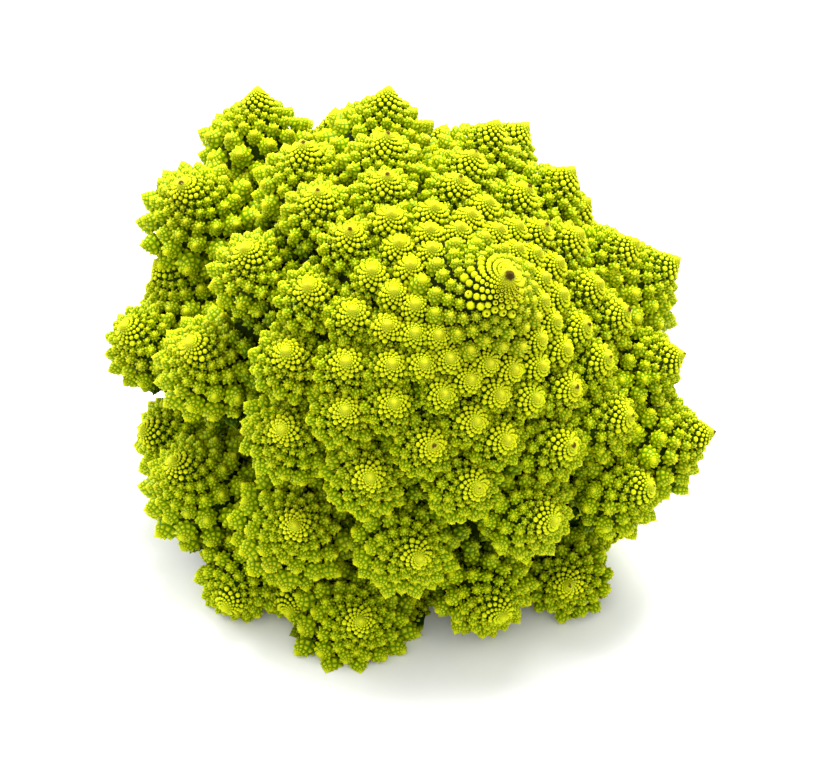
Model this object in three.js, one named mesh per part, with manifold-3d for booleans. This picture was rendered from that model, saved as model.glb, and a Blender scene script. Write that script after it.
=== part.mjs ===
// A romanesco head: a leaning dome of spiral florets on a short cut stalk.
// Millimetres, +Z up. The origin is on the ground, under the middle of the head's box. The head lies on
// its lowest florets and on the stalk's level cut, and its apex leans toward -Y and +X.
import * as THREE from "three";
import { mergeVertices } from "three/addons/utils/BufferGeometryUtils.js";
import Module from "manifold-3d";

const wasm = await Module();
wasm.setup();

const DEG = Math.PI / 180;
const GOLDEN = 137.50776 * DEG; // turn from one floret to the next

// The head's own axis, which the florets spiral round, and the stalk.
const APEX = new THREE.Vector3(26.8, -41.9, 115);
const LEAN = 36.7 * DEG; // off the vertical
const LEAN_TOWARD = -57 * DEG; // from +X, seen from above
const STALK_TOP = new THREE.Vector3(8.8, -13.9, 71); // inside the head
const STALK_FOOT = new THREE.Vector3(13.8, 44.1, 0); // the middle of its cut

// The spiral of florets, counted outward from the apex.
const FLORETS = 216;
const CROWN_BEADS = 116; // the innermost ones, which are still single beads
const CROWN_PAIR = [8, 13]; // the two rows, left and right, that those line up in
const KNEE = 150; // growth is quicker from this floret on
const KNEE_RADIUS = 29.2;
const INNER_GROWTH = 0.0158; // natural logarithm of the growth in radius per floret
const OUTER_GROWTH = 0.0192;
const SPIRAL_START = 119.2 * DEG;

// The dome that the floret tips lie on.
const DOME_RADIUS = 75;
const DROP = [1.0, -1.15, 1.03]; // drop as a cubic of radius, both over DOME_RADIUS
const OVAL = 0.1;
const OVAL_TOWARD = -40 * DEG;
const LOPSIDED = 0.48; // the side away from LOPSIDED_TOWARD droops by this much more
const LOPSIDED_TOWARD = 25 * DEG;
const TILT = [0.6, 0.25]; // tilt of a floret over the dome's own, at the apex and added at DOME_RADIUS
const TURN_UP = new THREE.Vector3(0.12, 0.08, 0.3); // pull on the facing of a floret at DOME_RADIUS
const WIDEST_FLORET = 30;

// Florets that grew off the spiral: turn in degrees, reach outward and drop in mm, the way they face
// if it isn't the dome's, and size.
const STRAYS = new Map([
  [151, { turn: -3, reach: 1 }],
  [157, { turn: -7, reach: 1 }],
  [158, { turn: -6, reach: 1 }],
  [159, { turn: -2, reach: 3 }],
  [160, { turn: -4 }],
  [161, { turn: -6, reach: -1 }],
  [162, { turn: -5, reach: 3 }],
  [166, { turn: -3, reach: -1 }],
  [169, { turn: -2 }],
  [170, { turn: -3, reach: 1 }],
  [171, { turn: -5 }],
  [173, { turn: -1, reach: 1 }],
  [174, { turn: -4, reach: -1 }],
  [175, { turn: -3, reach: 11 }],
  [178, { turn: 2 }],
  [179, { turn: -4 }],
  [180, { turn: 2, reach: 6 }],
  [181, { reach: 2 }],
  [182, { turn: -2, reach: 1 }],
  [183, { turn: 1, reach: 4 }],
  [185, { turn: 3, reach: 4 }],
  [186, { reach: -1 }],
  [187, { turn: -2, reach: 2 }],
  [188, { reach: -4, lower: 6 }],
  [189, { turn: 1, reach: 3 }],
  [190, { turn: 4, face: [0.66, -0.49, 0.57], size: 0.82 }],
  [191, { turn: 5, reach: 2 }],
  [192, { turn: 1, reach: 1, face: [0.06, -0.71, 0.7] }],
  [193, { turn: 7, reach: 2 }],
  [194, { turn: -4, reach: 4, face: [-0.2, -0.32, 0.92] }],
  [195, { reach: 2, lower: 5, face: [0.35, -0.92, 0.18], size: 0.8 }],
  [196, { turn: 4, reach: -2, lower: 4, face: [0.62, 0.23, 0.75], size: 0.52 }],
  [197, { turn: 3, reach: 2, face: [-0.38, -0.34, 0.86] }],
  [198, { turn: 2, reach: -1, face: [0.9, -0.16, 0.4], size: 0.88 }],
  [199, { turn: 2, reach: 5, face: [0.01, 0.26, 0.96], size: 0.95 }],
  [200, { turn: 5, lower: -6, face: [0.15, -0.69, 0.71] }],
  [201, { reach: -10, lower: 22 }],
  [202, { turn: 4, reach: -4, face: [-0.45, -0.35, 0.82], size: 0.72 }],
  [203, { turn: -3, reach: -12, lower: 18, face: [0.02, -0.82, 0.57], size: 0.68 }],
  [204, { turn: -2, reach: -14, lower: 26 }],
  [205, { turn: 14, reach: 6, lower: -52, face: [-0.3, -0.94, 0.15], size: 0.78 }],
  [207, { reach: 5, lower: -6 }],
  [208, { turn: 2, reach: 3, lower: 6, size: 0.9 }],
  [210, { turn: 4, reach: 4, lower: -3 }],
  [211, { turn: -2, reach: 2, lower: 4 }],
  [212, { reach: 4 }],
  [213, { turn: 5, reach: 11, lower: -29, size: 0.8 }],
]);

// The sizes of floret: the rows their beads line up in, how many beads, how many of those turn under
// the rim, growth per bead, and width over the floret's share of the dome.
const SMALL = { pair: [3, 5], beads: 6, under: 1, growth: 0.149, fill: 0.95 };
const MIDDLE = { pair: [3, 5], beads: 9, under: 2, growth: 0.149, fill: 1.05 };
const LARGE = { pair: [5, 8], beads: 14, under: 3, growth: 0.057, fill: 1.08 };
const UNDER = { pair: [3, 5], beads: 9, under: 2, growth: 0.149, fill: 1 };
const MIDDLE_FROM = 150;
const LARGE_FROM = 178;
const FLORET_DROP = [1.0, -0.5, 0.6]; // a floret's own dome, as DROP
const UNDERCUT = 0.6; // how quickly a floret draws in under its rim
const SKIRT = 1.4; // and how far down it goes meanwhile
const BEAD_RELIEF = 0.36; // bead height over bead spacing
const ROOT_DEPTH = 4; // root of an inner floret below its tip, over half its width
const ROOT_REACH = 0.93; // how far toward the fork the roots of the outer florets run
const LEAST_DEPTH = 2.6; // root of an outer floret, at least this far below its tip

// The last florets grow under the edge of the dome.
const UNDER_FROM = 206;
const UNDER_RADIUS = 68;
const UNDER_DROP = 26;
const UNDER_NOD = 24 * DEG; // further off the axis than the dome's florets

// The flesh that carries the florets.
const CORE_RADII = [3, 12, 22, 32, 42, 52, 60];
const CORE_SIDES = 16;
const CORE_DEPTH = 0.72; // below the tips, over floret width
const WAIST = 0.2; // how far the underside draws in from its edge toward the fork
const NECK_RADIUS = 24;

// The stalk, and points along it as a share of the way from its foot to its top.
const NECK = 0.34; // where the flesh ends
const FORK = 0.66; // where the outer florets branch off
const STALK_END = -0.5; // below the ground, before it is cut level
const FOOT_RADIUS = 19;
const TOP_RADIUS = 16;
const STALK_SIDES = 20;
const SEAM = 0.3; // gap between the flesh and the stalk

const WELD = 0.001; // corners closer than this are one
const GROUND = 400; // side of the block that the head is cut level with

const UP = new THREE.Vector3(0, 0, 1);
const AXIS = new THREE.Vector3(
  Math.sin(LEAN) * Math.cos(LEAN_TOWARD), Math.sin(LEAN) * Math.sin(LEAN_TOWARD), Math.cos(LEAN));
const TO_WORLD = new THREE.Quaternion().setFromUnitVectors(UP, AXIS);
const STALK_LINE = STALK_TOP.clone().sub(STALK_FOOT).normalize();

const wrap = (angle) => Math.atan2(Math.sin(angle), Math.cos(angle));
const drop = (u, [a, b, c] = DROP) => ((c * u + b) * u + a) * u;
const slope = (u, [a, b, c] = DROP) => (3 * c * u + 2 * b) * u + a;

/** Distance from the axis of floret k, before the dome is made oval. */
function spiralRadius(k) {
  const growth = k < KNEE ? INNER_GROWTH : OUTER_GROWTH;
  return KNEE_RADIUS * Math.exp(growth * (k - KNEE));
}

/** How far a floret of the dome faces off the axis. */
const tiltAt = (u) => Math.atan(slope(u)) * (TILT[0] + TILT[1] * u);

/** Width of the share of the dome that a floret at this radius has. */
function shareOfDome(radius) {
  const growth = radius < KNEE_RADIUS ? INNER_GROWTH : OUTER_GROWTH;
  const stretch = Math.hypot(1, slope(radius / DOME_RADIUS));
  return Math.min(radius * Math.sqrt(2 * Math.PI * growth * stretch), WIDEST_FLORET);
}

/** A point of the dome of tips, and the way that a floret there faces. */
function onDome(radius, angle, lower = 0, nod = 0) {
  const u = radius / DOME_RADIUS;
  const tilt = tiltAt(u) + nod;
  const reach = radius * (1 + OVAL * u * Math.cos(2 * (angle - OVAL_TOWARD)));
  const droop = 1 - LOPSIDED * u * u * Math.cos(angle - LOPSIDED_TOWARD);
  const depth = DOME_RADIUS * drop(u) * droop + lower;
  const tip = new THREE.Vector3(reach * Math.cos(angle), reach * Math.sin(angle), -depth);
  const facing = new THREE.Vector3(
    Math.sin(tilt) * Math.cos(angle), Math.sin(tilt) * Math.sin(angle), Math.cos(tilt));
  facing.applyQuaternion(TO_WORLD).addScaledVector(TURN_UP, u * u).normalize();
  return { tip: tip.applyQuaternion(TO_WORLD).add(APEX), facing };
}

/** Tip, facing and width of floret k. */
function floretSite(k) {
  const { turn = 0, reach = 0, lower = 0, size = 1, face } = STRAYS.get(k) ?? {};
  const under = k >= UNDER_FROM;
  const spiral = under ? UNDER_RADIUS : spiralRadius(k);
  const angle = SPIRAL_START + k * GOLDEN + turn * DEG;
  const { tip, facing } = onDome(
    spiral + reach, angle, under ? lower + UNDER_DROP : lower, under ? UNDER_NOD : 0);
  if (face) facing.set(...face).normalize();
  return { tip, facing, width: shareOfDome(spiral) * size };
}

/**
 * A closed shell of beads on a golden spiral. Each bead is a four-sided point over a cell whose corners
 * lie half way between beads along the two rows of the pair. place(index, angle, isBead) gives a point.
 */
function beadShell({ beads, pair, place, apex, root }) {
  const turns = pair.map((step) => wrap(step * GOLDEN));
  const clockwise = turns[0] < 0 ? pair[0] : pair[1];
  const counter = turns[0] < 0 ? pair[1] : pair[0];
  const both = clockwise + counter;
  const halfTurn = (turns[0] + turns[1]) / 2;
  const points = [apex, root];
  const corner = [];
  for (let j = 0; j < beads + both; j++) {
    corner.push(points.push(place(j - both / 2, j * GOLDEN - halfTurn, false)) - 1);
  }
  const faces = [];
  for (let k = 0; k < beads; k++) {
    const bead = points.push(place(k, k * GOLDEN, true)) - 1;
    const ring = [corner[k], corner[k + clockwise], corner[k + both], corner[k + counter]];
    ring.forEach((from, side) => faces.push(bead, from, ring[(side + 1) % 4]));
    if (k < counter) faces.push(0, corner[k + clockwise], corner[k]);
    if (k < clockwise) faces.push(0, corner[k], corner[k + counter]);
    if (k + clockwise >= beads) faces.push(1, corner[k + both], corner[k + clockwise]);
    if (k + counter >= beads) faces.push(1, corner[k + counter], corner[k + both]);
  }
  return solidOf(points, faces);
}

/** A solid from points and faces. */
function solidOf(points, faces) {
  const vertProperties = new Float32Array(points.flatMap((p) => [p.x, p.y, p.z]));
  return new wasm.Manifold(new wasm.Mesh({ numProp: 3, vertProperties, triVerts: new Uint32Array(faces) }));
}

/** The innermost florets as one cone of beads, closed on a point deep in the head. */
function crown() {
  const place = (index, angle, isBead) => {
    const radius = spiralRadius(index);
    const at = onDome(radius, SPIRAL_START + angle);
    const spacing = radius * Math.sqrt(2 * Math.PI * INNER_GROWTH);
    return at.tip.addScaledVector(at.facing, isBead ? 0 : -BEAD_RELIEF * spacing);
  };
  return beadShell({ beads: CROWN_BEADS, pair: CROWN_PAIR, place, apex: APEX, root: onStalk(1) });
}

/** The size that floret k has. */
function kindOf(k) {
  if (k < MIDDLE_FROM) return SMALL;
  if (k < LARGE_FROM) return MIDDLE;
  return k < UNDER_FROM ? LARGE : UNDER;
}

/** Where floret k grows from: straight below an inner one, and by the fork for an outer one. */
function rootOf(k, tip, facing, body) {
  if (k < LARGE_FROM) return tip.clone().addScaledVector(facing, -ROOT_DEPTH * body);
  const root = tip.clone().lerp(onStalk(FORK), ROOT_REACH);
  const depth = tip.clone().sub(root).dot(facing);
  return root.addScaledVector(facing, -Math.max(LEAST_DEPTH * body - depth, 0));
}

/** One floret: a small dome of beads like the head's own, drawn in below to a root inside the head. */
function floret(k) {
  const { tip, facing, width } = floretSite(k);
  const kind = kindOf(k);
  const body = (width / 2) * kind.fill;
  const spacing = body * Math.sqrt(2 * Math.PI * kind.growth);
  const upright = new THREE.Quaternion().setFromUnitVectors(UP, facing);
  const place = (index, angle, isBead) => {
    const u = Math.exp(kind.growth * (Math.min(index, kind.beads) - kind.beads + kind.under));
    const onTop = Math.min(u, 1);
    const past = u - onTop;
    const out = new THREE.Vector2(slope(onTop, FLORET_DROP), 1 - SKIRT * past).normalize();
    const lift = isBead ? BEAD_RELIEF * spacing * onTop : 0;
    const r = body * (onTop - UNDERCUT * past * past) + lift * out.x;
    const z = -body * (drop(onTop, FLORET_DROP) + SKIRT * past) + lift * out.y;
    return new THREE.Vector3(r * Math.cos(angle), r * Math.sin(angle), z).applyQuaternion(upright).add(tip);
  };
  const root = rootOf(k, tip, facing, body);
  return beadShell({ beads: kind.beads, pair: kind.pair, place, apex: tip, root });
}

/** A closed skin over rings of points, each ring counterclockwise seen from the first ring's side. */
function skin(rings) {
  const sides = rings[0].length;
  const points = rings.flat();
  const middle = (ring) => ring.reduce((sum, p) => sum.add(p), new THREE.Vector3()).divideScalar(sides);
  const first = points.push(middle(rings[0])) - 1;
  const last = points.push(middle(rings[rings.length - 1])) - 1;
  const faces = [];
  for (let side = 0; side < sides; side++) {
    const next = (side + 1) % sides;
    faces.push(first, side, next);
    for (let ring = 0; ring < rings.length - 1; ring++) {
      const a = ring * sides;
      const b = a + sides;
      faces.push(a + side, b + side, b + next, a + side, b + next, a + next);
    }
    const end = (rings.length - 1) * sides;
    faces.push(last, end + next, end + side);
  }
  return solidOf(points, faces);
}

/** A point of the stalk's middle line. */
const onStalk = (share) => STALK_FOOT.clone().lerp(STALK_TOP, share);

/** A ring of points, from a function of the angle. */
function ringOf(sides, pointAt) {
  return Array.from({ length: sides }, (_, side) => pointAt((2 * Math.PI * side) / sides));
}

/** A ring round the stalk, whose points face those of another ring. */
function collar(ring, share, radius) {
  const middle = onStalk(share);
  return ring.map((p) => {
    const out = p.clone().sub(middle).projectOnPlane(STALK_LINE).setLength(radius);
    return out.add(middle);
  });
}

/** The flesh under the florets: a dome inside the dome of tips, drawn in below to the stalk. */
function core() {
  const rings = CORE_RADII.map((radius) => ringOf(CORE_SIDES, (angle) => {
    const { tip, facing } = onDome(radius, angle);
    return tip.addScaledVector(facing, -CORE_DEPTH * shareOfDome(radius));
  }));
  const edge = rings[rings.length - 1];
  const waist = edge.map((p) => p.clone().lerp(onStalk(FORK), WAIST));
  return skin([...rings, waist, collar(edge, NECK, NECK_RADIUS)]);
}

/** The stalk, wider by grow all round, before it is cut level with the ground. */
function stalk(grow) {
  const leaning = new THREE.Quaternion().setFromUnitVectors(UP, STALK_LINE);
  const ringAt = (share, radius, lift) => ringOf(STALK_SIDES, (angle) =>
    new THREE.Vector3(Math.cos(angle) * (radius + grow), Math.sin(angle) * (radius + grow), lift)
      .applyQuaternion(leaning)
      .add(onStalk(share)));
  return skin([ringAt(1, TOP_RADIUS, grow), ringAt(STALK_END, FOOT_RADIUS, 0)]);
}

/** A solid from a closed three.js geometry. */
function solidOfGeometry(geometry) {
  const bare = geometry.index ? geometry.toNonIndexed() : geometry.clone();
  bare.deleteAttribute("normal");
  bare.deleteAttribute("uv");
  const { attributes, index } = mergeVertices(bare, WELD);
  return new wasm.Manifold(new wasm.Mesh({
    numProp: 3,
    vertProperties: attributes.position.array,
    triVerts: new Uint32Array(index.array),
  }));
}

/** The ground under the head, that the stalk and the lowest florets are flat against. */
function ground() {
  return solidOfGeometry(new THREE.BoxGeometry(GROUND, GROUND, GROUND).translate(0, 0, -GROUND / 2));
}

/** The largest body of a solid, which leaves out sealed hollows and loose scraps. */
function wholeOf(solid) {
  return solid.decompose().reduce((best, part) => (part.volume() > best.volume() ? part : best));
}

/** A solid with the corners that nearly touch made one, so that no two faces meet at a pinch. */
function welded(solid) {
  const { vertProperties, triVerts } = solid.getMesh();
  const faces = new THREE.BufferGeometry();
  faces.setAttribute("position", new THREE.BufferAttribute(vertProperties, 3));
  faces.setIndex(new THREE.BufferAttribute(triVerts, 1));
  return wholeOf(solidOfGeometry(faces));
}

/** A mesh from a solid. */
function toMesh(solid, name, color, roughness) {
  const { vertProperties, triVerts } = solid.getMesh();
  const geometry = new THREE.BufferGeometry();
  geometry.setAttribute("position", new THREE.BufferAttribute(vertProperties, 3));
  geometry.setIndex(new THREE.BufferAttribute(triVerts, 1));
  geometry.computeVertexNormals();
  const mesh = new THREE.Mesh(geometry, new THREE.MeshStandardMaterial({ color, roughness, metalness: 0 }));
  mesh.name = name;
  return mesh;
}

let head = crown().add(core());
for (let k = CROWN_BEADS; k < FLORETS; k++) head = head.add(floret(k));
const curd = welded(wholeOf(head.subtract(stalk(SEAM)).subtract(ground())));

const group = new THREE.Group();
group.add(toMesh(curd, "curd", "#a9c31d", 0.5));
group.add(toMesh(stalk(0).subtract(ground()), "stalk", "#cdd79a", 0.6));
export default group;
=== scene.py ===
import math
from collections import namedtuple

import bpy
import numpy as np
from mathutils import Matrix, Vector


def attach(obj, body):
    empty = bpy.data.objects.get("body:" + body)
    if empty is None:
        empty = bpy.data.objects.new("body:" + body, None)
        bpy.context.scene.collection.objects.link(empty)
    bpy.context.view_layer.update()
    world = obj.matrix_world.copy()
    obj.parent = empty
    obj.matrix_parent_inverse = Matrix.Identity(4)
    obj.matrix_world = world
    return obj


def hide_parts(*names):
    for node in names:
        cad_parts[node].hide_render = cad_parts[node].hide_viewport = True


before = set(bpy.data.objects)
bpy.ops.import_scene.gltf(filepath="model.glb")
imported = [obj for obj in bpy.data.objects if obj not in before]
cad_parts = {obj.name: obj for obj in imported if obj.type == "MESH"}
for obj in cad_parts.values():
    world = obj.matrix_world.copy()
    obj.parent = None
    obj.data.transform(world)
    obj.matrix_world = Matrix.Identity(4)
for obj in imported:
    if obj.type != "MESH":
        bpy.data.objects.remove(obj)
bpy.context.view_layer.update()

MM = 0.001
DEG = math.pi / 180
GOLDEN = 137.50776 * DEG     # turn from one floret or bead to the next
NEARLY_DOWN = -0.999         # a facing closer to straight down than this is turned as if it were this
SEED = 7

# The head's axis, the stalk and the dome of floret tips, as in the CAD part.
APEX = np.array([26.8, -41.9, 115.0])
LEAN = 36.7 * DEG            # off the vertical
LEAN_TOWARD = -57 * DEG      # from +X, seen from above
STALK_TOP = np.array([8.8, -13.9, 71.0])     # inside the head
STALK_FOOT = np.array([13.8, 44.1, 0.0])     # the middle of its cut
FLORETS = 216
CROWN_BEADS = 116            # the innermost ones, which are single beads or buds
KNEE = 150                   # growth is quicker from this floret on
KNEE_RADIUS = 29.2
INNER_GROWTH = 0.0158        # natural logarithm of the growth in radius per floret
OUTER_GROWTH = 0.0192
SPIRAL_START = 119.2 * DEG
DOME_RADIUS = 75.0
DOME_DROP = (1.0, -1.15, 1.03)               # drop as a cubic of radius, both over DOME_RADIUS
OVAL = 0.1
OVAL_TOWARD = -40 * DEG
LOPSIDED = 0.48              # the side away from LOPSIDED_TOWARD droops by this much more
LOPSIDED_TOWARD = 25 * DEG
TILT = (0.6, 0.25)           # tilt of a floret over the dome's own: at the apex, and added at DOME_RADIUS
TURN_UP = np.array([0.12, 0.08, 0.3])        # pull on the facing of a floret at DOME_RADIUS
WIDEST_FLORET = 30.0
MIDDLE_FROM = 150            # the florets are small before this one
LARGE_FROM = 178             # and large from this one on
UNDER_FROM = 206             # the last florets grow under the edge of the dome
UNDER_RADIUS = 68.0
UNDER_DROP = 26.0
UNDER_NOD = 24 * DEG

# Florets that grew off the spiral, as in the CAD part: turn in degrees, reach and lower in mm, the way
# they face, and size.
STRAYS = {
    151: dict(turn=-3, reach=1),
    157: dict(turn=-7, reach=1),
    158: dict(turn=-6, reach=1),
    159: dict(turn=-2, reach=3),
    160: dict(turn=-4),
    161: dict(turn=-6, reach=-1),
    162: dict(turn=-5, reach=3),
    166: dict(turn=-3, reach=-1),
    169: dict(turn=-2),
    170: dict(turn=-3, reach=1),
    171: dict(turn=-5),
    173: dict(turn=-1, reach=1),
    174: dict(turn=-4, reach=-1),
    175: dict(turn=-3, reach=11),
    178: dict(turn=2),
    179: dict(turn=-4),
    180: dict(turn=2, reach=6),
    181: dict(reach=2),
    182: dict(turn=-2, reach=1),
    183: dict(turn=1, reach=4),
    185: dict(turn=3, reach=4),
    186: dict(reach=-1),
    187: dict(turn=-2, reach=2),
    188: dict(reach=-4, lower=6),
    189: dict(turn=1, reach=3),
    190: dict(turn=4, face=(0.66, -0.49, 0.57), size=0.82),
    191: dict(turn=5, reach=2),
    192: dict(turn=1, reach=1, face=(0.06, -0.71, 0.7)),
    193: dict(turn=7, reach=2),
    194: dict(turn=-4, reach=4, face=(-0.2, -0.32, 0.92)),
    195: dict(reach=2, lower=5, face=(0.35, -0.92, 0.18), size=0.8),
    196: dict(turn=4, reach=-2, lower=4, face=(0.62, 0.23, 0.75), size=0.52),
    197: dict(turn=3, reach=2, face=(-0.38, -0.34, 0.86)),
    198: dict(turn=2, reach=-1, face=(0.9, -0.16, 0.4), size=0.88),
    199: dict(turn=2, reach=5, face=(0.01, 0.26, 0.96), size=0.95),
    200: dict(turn=5, lower=-6, face=(0.15, -0.69, 0.71)),
    201: dict(reach=-10, lower=22),
    202: dict(turn=4, reach=-4, face=(-0.45, -0.35, 0.82), size=0.72),
    203: dict(turn=-3, reach=-12, lower=18, face=(0.02, -0.82, 0.57), size=0.68),
    204: dict(turn=-2, reach=-14, lower=26),
    205: dict(turn=14, reach=6, lower=-52, face=(-0.3, -0.94, 0.15), size=0.78),
    207: dict(reach=5, lower=-6),
    208: dict(turn=2, reach=3, lower=6, size=0.9),
    210: dict(turn=4, reach=4, lower=-3),
    211: dict(turn=-2, reach=2, lower=4),
    212: dict(reach=4),
    213: dict(turn=5, reach=11, lower=-29, size=0.8),
}

# Florets whose tips are scorched, and how much.
SCORCHED = {
    151: 0.8, 154: 0.8, 156: 0.8, 157: 0.8, 160: 0.8, 162: 0.9, 164: 0.7, 165: 0.8, 166: 0.8,
    168: 0.5, 169: 1.0, 170: 0.6, 172: 1.0, 173: 0.7, 174: 0.5, 177: 0.6, 178: 0.9, 182: 0.4,
    184: 0.4, 185: 0.6, 186: 0.9, 190: 0.6, 192: 0.3, 194: 1.0, 198: 1.0, 203: 0.7,
}

# Any whorl of beads. The reach of a bead is its distance from the whorl's axis over the whorl's radius.
# Past 1, the whorl turns in under its rim.
BEAD_TILT = (0.55, 0.4)      # tilt of a bead over the slope it is on: at the tip, and added at the rim
UNDER_TURN = 60 * DEG        # how far a bead at a reach of 2 turns down past one at the rim
UNDERCUT = 0.35              # how quickly the whorl draws in under the rim
SKIRT = 1.4                  # and how far down it goes meanwhile
TIP_STRETCH = 1.3            # slant of a whorl, which sets its bead spacing

# The whorl of a floret.
FLORET_DROP = (1.0, -0.5, 0.6)
BEAD_GROWTH = 0.021
BEAD_PAIR = (8, 13)          # the two rows, left and right, that the beads line up in
FIRST_BEAD = 0.05            # reach of the innermost bead
SKIRT_BEADS = 34             # beads under the rim
FLORET_BEADS = int(math.log(1 / FIRST_BEAD) / BEAD_GROWTH) + SKIRT_BEADS
BODY_FILL = ((CROWN_BEADS, MIDDLE_FROM, LARGE_FROM), (1.22, 1.12, 0.99))  # floret, width over its share
TIP_RISE = 0.12              # the very tip stands up by this much, over the floret's radius
TIP_RISE_REACH = 0.3
BODY_SHARE = 0.7             # share of a floret's radius in which no other floret's beads grow
HEIGHT_SHADE = ((10, 60, 110), (0.82, 0.94, 1.0))    # height of a floret, and its brightness: painted shade on the lower florets
STEM_FROM = 1.5              # from this reach on, the skin turns into that of the stem
STEM_EASING = 0.5
# Brightness of the stems deep in the head: painted shade.
STEM_SHADE = 0.5
ROOT_MARK = 9.0              # reach and spacing that the root counts as
SCORCH = (1.25, 0.9)         # how brown a scorched tip is, and the mm over which that fades by 1

# The kinds of bead, by the spacing of the beads in mm. The finest are raised from the skin.
SKIN, KNOB, TINY, SMALL, LARGE, PLAIN, ROUND = range(7)
FINE_SPACING = 0.65          # from here on, beads are knobs
TINY_SPACING = 1.7           # tiny buds
BUD_SPACING = 2.5            # small buds
LARGE_SPACING = 4.2          # large buds
PLAIN_FROM = 1.35            # the reach from which large buds are plain ones

# How the beads stand in the skin, as shares of their spacing.
FINE_RELIEF = 0.5
SUNK = 0.6                   # how deep the skin is under the beads that stand out of it
SUNK_EASING = 0.4            # mm of spacing over which it gets there
BEAD_LIFT = 0.34
BUD_LIFTS = ((0.6, 0.95, 1.3), (0.55, 0.8, 0.6))                        # reach and lift
BEAD_MIDDLE = 0.3            # middle of a bead below its tip
BEAD_WOBBLE = 0.08
BEAD_VARIATION = 0.05        # of size and brightness
BEAD_SHADE_BY_REACH = ((0.3, 0.9, 1.15, 1.5, 2.0), (1.0, 0.94, 0.78, 0.45, 0.15))  # reach and brightness: painted shade down the lower rows and under the rim
SKIN_GROOVE_SHADE = ((FINE_SPACING, FINE_SPACING * 1.3), (1.0, 0.34))           # spacing and brightness: painted shade on the skin between sunk beads
SKIN_BEAD = ((0.12, 0.45), (0.7, 0.2))       # spacing, and bead value in the grooves, which sets their painted shade
DOT = (0.12, 0.7)            # share of the beads that have a faint brown dot, and how brown it is

# Buds: small florets of unit width.
BUD_TIP = 0.06
BUD_ROOT = 1.7
BUD_RELIEF = 0.6
BUD_SHADE_BY_REACH = ((0.4, 0.7, 1.0, 1.6), (1.0, 0.97, 0.86, 0.45))              # reach and brightness: painted shade under the bud's rim
# Brightness of a bud's root, deep inside it: painted shade.
BUD_ROOT_SHADE = 0.1
BUD_GROOVE_SHADE = 0.85       # painted shade in the grooves, over the beads' brightness
BUD_GROOVES = ((0.15, 0.4), (0.7, 0.0))      # reach, and bead value in the grooves, which sets their painted shade

# The ground.
GROUND_GIVE = 0.7            # how gently the beads flatten against it, in mm
BURIED = 0.2                 # a bead whose middle is further below it, over its size, is left out

# The crown: the innermost florets of the head. Its spiral tightens toward the apex.
CROWN_FIRST = -284           # the finest bead, in by the apex
CROWN_COUNT = CROWN_BEADS - CROWN_FIRST
CROWN_LAST = CROWN_BEADS + 10                # corners past this one stay at its radius
CROWN_PAIR = (13, 21)
APEX_GROWTH = 0.009
TIGHTENING = 40              # beads over which the growth changes
BEND = np.array([2.6, 0.6, 1.2])             # the crown's very tip bends this way
BEND_REACH = 7.0
UNSHADED_RADIUS = 4.0          # the skin has no painted groove shade as far as this from the axis
# Brightness and bead value of the crown's grooves: painted shade.
CROWN_GROOVE_SHADE = 0.34
GROOVE_BEAD = 0.25
APEX_PATCH = 2.9             # radius of the brown patch of fibres at the apex
APEX_TRAIL = np.array([1.3, -2.8, -1.6])     # and the way it trails off
APEX_BROWN = 1.2
TRAIL_FADING = 0.45
SPOTTED_TOWARD = np.array([0.45, -0.6, -0.6])                # the beads on this side have brown spots
SPOTTED_COSINE = 0.55
SPOTTED_RADIUS = 12.0

# The flesh that carries the florets, and its neck. A place on the stalk is the share of the way from its
# foot to its top.
CORE_RADII = (3, 12, 22, 32, 42, 52, 60)
CORE_SIDES = 48
CORE_DEPTH = 0.72            # below the tips, over floret width
WAIST = 0.2                  # how far the underside draws in from its edge toward the fork
FORK = 0.66                  # where the outer florets branch off
NECK = 0.34                  # where the neck meets the stalk
NECK_RADIUS = 24.0
NECK_RINGS = 12
NECK_RIBS = 1.3
NECK_RIB_COUNT = 8
NECK_FOOT = ((0.31, 22.8), (0.28, 20.4), (0.26, 17.0))       # place on the stalk and radius
NECK_SHADE = (0.2, 0.48)      # brightness at its top and its bottom: painted shade under the dome
NECK_PALE = (-0.3, -1.0)     # brown, as above
# Brightness of the neck's foot: a little painted shade.
NECK_FOOT_SHADE = (0.5, 0.52, 0.54)
ROOT_DEPTH = 4.0             # root of an inner floret below its tip, over half its width
ROOT_REACH = 0.93            # how far toward the fork the roots of the outer florets run
LEAST_DEPTH = 2.6            # root of an outer floret, at least this far below its tip

# Small buds on the flesh, dimmed by painted shade.
CORE_BUDS = 520
CORE_BUD = 5.4
CORE_BUD_LIFT = 0.24         # over floret width
CORE_BUDS_FROM = KNEE_RADIUS * 0.6
CORE_BUD_WOBBLE = 0.2
CORE_BUD_VARIATION = 0.12
# Brightness of these buds: painted shade.
CORE_BUD_SHADE = 0.5

# The stalk.
STALK_SIDES = 72
STALK_RINGS = 30
FOOT_RADIUS = 18.0           # at the cut
TOP_RADIUS = 16.0
FLUTES = ((5, 0.35), (13, 0.2), (29, 0.08))  # how many round the stalk, and their height
FLUTE_DEPTH = 0.4
SCARS = ((200, 0.16), (262, 0.3), (325, 0.2), (28, 0.34), (92, 0.18), (150, 0.36))  # degrees and share
SCAR_SIZE = (5.5, 2.6)       # half width and half height of a leaf scar
SCAR_HEIGHT = 0.5
PLAIN_RINGS = 3              # rings over which the flutes and scars begin
STALK_HOLLOW_SHADE = (0.75, 0.25)    # brightness of the plain side, and added per mm of relief: painted shade in the hollows
CUT_RINGS = ((1, 0.5), (0.97, 0.75), (0.9, 0.95), (0.82, 0.8), (0.74, 1.0), (0.6, 0.95), (0.45, 0.9),
             (0.3, 0.85), (0.15, 0.8))       # size over the cut's own, and brightness of its own rings
CUT_MIDDLE_TINT = 0.8

# The pieces of the curd: the crown, and six sectors round the middle of the head.
SECTORS = ("right", "back_right", "back_left", "left", "front_left", "front_right")
SECTOR = 60                  # degrees

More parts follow.
